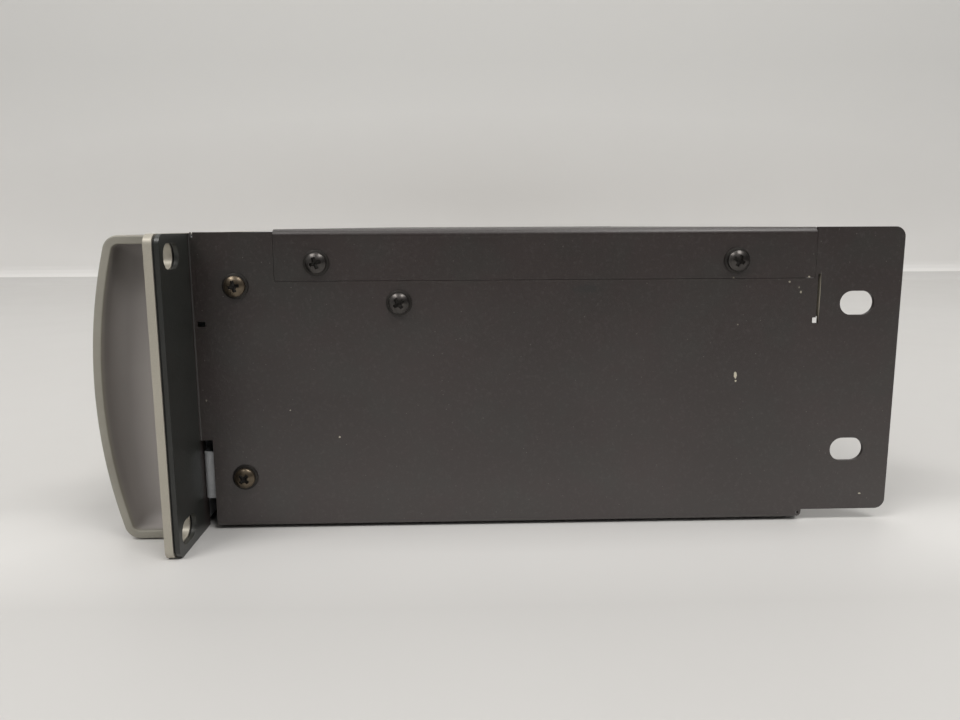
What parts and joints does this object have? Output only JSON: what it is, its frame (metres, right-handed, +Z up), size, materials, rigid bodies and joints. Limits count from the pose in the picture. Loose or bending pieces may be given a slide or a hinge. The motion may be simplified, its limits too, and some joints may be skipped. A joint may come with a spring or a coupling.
{
  "type": "rack compressor",
  "caption": "Rack-mount stereo compressor with wing handles, meters, knobs and buttons in front, rear support ears and audio sockets behind.",
  "frame": {"origin": "middle of the rack ears' rear face: the plane that meets the rack rail, halfway up the panel and halfway across it", "axes": "+X across the rack, to the right as seen from the front; +Y to the rear, away from the person at the controls; +Z up"},
  "size_m": [0.4826, 0.2331, 0.0891],
  "materials": {
    "black_steel": "satin black powder coat with a fine texture",
    "champagne_panel": "brushed and anodised pale champagne",
    "black_bonding": "matt",
    "zinc_steel": "bright zinc plate",
    "handle_aluminium": "satin, bead blasted and anodised grey",
    "yellow_screws": "yellow passivated",
    "black_screws": "black oxide",
    "black_plastic": "moulded, semi-gloss",
    "knob_plastic": "moulded, matt",
    "button_plastic": "moulded, matt",
    "dial_card": "printed card",
    "clear_lens": "clear acrylic",
    "needle_red": "painted",
    "plated_metal": "nickel plate",
    "green_board": "solder mask on glass-fibre board",
    "component_black": "moulded",
    "red_lamp": "diffused",
    "green_lamp": "diffused",
    "brass_posts": "turned",
    "winding_tape": "yellow insulating tape over a wound core",
    "blue_sleeve": "shrink sleeve",
    "black_aluminium": "black anodised"
  },
  "bodies": {
    "root": {"chassis": "black_steel", "top_cover": "black_steel", "cover_rails": "black_steel", "front_panel": "champagne_panel", "bonding_sheet": "black_bonding", "sub_panel": "zinc_steel", "handle_left": "handle_aluminium", "handle_right": "handle_aluminium", "handle_screws": "zinc_steel", "front_brackets": "zinc_steel", "bracket_screws": "yellow_screws", "cover_screws": "black_screws", "cross_brace": "zinc_steel", "brace_screws": "black_screws", "rear_panel": "black_steel", "rear_panel_screws": "black_screws", "meter_cases": "black_plastic", "meter_dials": "dial_card", "meter_lenses": "clear_lens", "power_switch_case": "black_plastic", "potentiometers": "plated_metal", "pot_nuts": "plated_metal", "button_switches": "component_black", "control_board": "green_board", "gain_leds": "red_lamp", "indicator_leds": "green_lamp", "main_board": "green_board", "board_components": "component_black", "board_standoffs": "brass_posts", "power_toroid": "winding_tape", "toroid_clamp": "black_steel", "smoothing_capacitors": "blue_sleeve", "heatsink": "black_aluminium", "regulators": "component_black", "mains_inlet": "black_plastic", "xlr_sockets": "black_plastic", "sidechain_jacks": "plated_metal"},
    "threshold_knob_1": {"threshold_knob_1": "knob_plastic"},
    "ratio_knob_1": {"ratio_knob_1": "knob_plastic"},
    "gain_knob_1": {"gain_knob_1": "knob_plastic"},
    "attack_knob_1": {"attack_knob_1": "knob_plastic"},
    "release_knob_1": {"release_knob_1": "knob_plastic"},
    "threshold_knob_2": {"threshold_knob_2": "knob_plastic"},
    "ratio_knob_2": {"ratio_knob_2": "knob_plastic"},
    "gain_knob_2": {"gain_knob_2": "knob_plastic"},
    "attack_knob_2": {"attack_knob_2": "knob_plastic"},
    "release_knob_2": {"release_knob_2": "knob_plastic"},
    "bypass_button_1": {"bypass_button_1": "button_plastic"},
    "sidechain_button_1": {"sidechain_button_1": "button_plastic"},
    "auto_button_1": {"auto_button_1": "button_plastic"},
    "bypass_button_2": {"bypass_button_2": "button_plastic"},
    "sidechain_button_2": {"sidechain_button_2": "button_plastic"},
    "auto_button_2": {"auto_button_2": "button_plastic"},
    "link_button": {"link_button": "button_plastic"},
    "power_rocker": {"power_rocker": "black_plastic"},
    "needle_1": {"needle_1": "needle_red"},
    "needle_2": {"needle_2": "needle_red"},
    "latch_1": {"latch_1": "plated_metal"},
    "latch_2": {"latch_2": "plated_metal"},
    "fuse_drawer": {"fuse_drawer": "black_plastic"}
  },
  "joints": [
    {"name": "threshold_turn_1", "type": "hinge", "parent": "root", "child": "threshold_knob_1", "pos_m": [-0.188, -0.012, 0.025], "axis": [0, 1, 0], "range_deg": [-150, 150]},
    {"name": "ratio_turn_1", "type": "hinge", "parent": "root", "child": "ratio_knob_1", "pos_m": [-0.156, -0.012, 0.025], "axis": [0, 1, 0], "range_deg": [-150, 150]},
    {"name": "gain_turn_1", "type": "hinge", "parent": "root", "child": "gain_knob_1", "pos_m": [-0.124, -0.012, 0.025], "axis": [0, 1, 0], "range_deg": [-150, 150]},
    {"name": "attack_turn_1", "type": "hinge", "parent": "root", "child": "attack_knob_1", "pos_m": [-0.188, -0.012, -0.008], "axis": [0, 1, 0], "range_deg": [-150, 150]},
    {"name": "release_turn_1", "type": "hinge", "parent": "root", "child": "release_knob_1", "pos_m": [-0.156, -0.012, -0.008], "axis": [0, 1, 0], "range_deg": [-150, 150]},
    {"name": "threshold_turn_2", "type": "hinge", "parent": "root", "child": "threshold_knob_2", "pos_m": [0.008, -0.012, 0.025], "axis": [0, 1, 0], "range_deg": [-150, 150]},
    {"name": "ratio_turn_2", "type": "hinge", "parent": "root", "child": "ratio_knob_2", "pos_m": [0.04, -0.012, 0.025], "axis": [0, 1, 0], "range_deg": [-150, 150]},
    {"name": "gain_turn_2", "type": "hinge", "parent": "root", "child": "gain_knob_2", "pos_m": [0.072, -0.012, 0.025], "axis": [0, 1, 0], "range_deg": [-150, 150]},
    {"name": "attack_turn_2", "type": "hinge", "parent": "root", "child": "attack_knob_2", "pos_m": [0.008, -0.012, -0.008], "axis": [0, 1, 0], "range_deg": [-150, 150]},
    {"name": "release_turn_2", "type": "hinge", "parent": "root", "child": "release_knob_2", "pos_m": [0.04, -0.012, -0.008], "axis": [0, 1, 0], "range_deg": [-150, 150]},
    {"name": "bypass_press_1", "type": "slide", "parent": "root", "child": "bypass_button_1", "axis": [0, 1, 0], "range_m": [0, 0.002], "stiffness_N_per_m": 400},
    {"name": "sidechain_press_1", "type": "slide", "parent": "root", "child": "sidechain_button_1", "axis": [0, 1, 0], "range_m": [0, 0.002], "stiffness_N_per_m": 400},
    {"name": "auto_press_1", "type": "slide", "parent": "root", "child": "auto_button_1", "axis": [0, 1, 0], "range_m": [0, 0.002], "stiffness_N_per_m": 400},
    {"name": "bypass_press_2", "type": "slide", "parent": "root", "child": "bypass_button_2", "axis": [0, 1, 0], "range_m": [0, 0.002], "stiffness_N_per_m": 400},
    {"name": "sidechain_press_2", "type": "slide", "parent": "root", "child": "sidechain_button_2", "axis": [0, 1, 0], "range_m": [0, 0.002], "stiffness_N_per_m": 400},
    {"name": "auto_press_2", "type": "slide", "parent": "root", "child": "auto_button_2", "axis": [0, 1, 0], "range_m": [0, 0.002], "stiffness_N_per_m": 400},
    {"name": "link_press", "type": "slide", "parent": "root", "child": "link_button", "axis": [0, 1, 0], "range_m": [0, 0.002], "stiffness_N_per_m": 400},
    {"name": "power_rock", "type": "hinge", "parent": "root", "child": "power_rocker", "pos_m": [0.194, -0.00105, -0.018], "axis": [-1, 0, 0], "range_deg": [0, 18]},
    {"name": "needle_swing_1", "type": "hinge", "parent": "root", "child": "needle_1", "pos_m": [-0.058, -0.0012, -0.013], "axis": [0, 1, 0], "range_deg": [0, 80], "stiffness_Nm_per_rad": 0.0005},
    {"name": "needle_swing_2", "type": "hinge", "parent": "root", "child": "needle_2", "pos_m": [0.138, -0.0012, -0.013], "axis": [0, 1, 0], "range_deg": [0, 80], "stiffness_Nm_per_rad": 0.0005},
    {"name": "latch_press_1", "type": "slide", "parent": "root", "child": "latch_1", "axis": [0, 0, -1], "range_m": [0, 0.0012], "stiffness_N_per_m": 300},
    {"name": "latch_press_2", "type": "slide", "parent": "root", "child": "latch_2", "axis": [0, 0, -1], "range_m": [0, 0.0012], "stiffness_N_per_m": 300},
    {"name": "fuse_drawer_slide", "type": "slide", "parent": "root", "child": "fuse_drawer", "axis": [0, 1, 0], "range_m": [0, 0.018]}
  ]
}
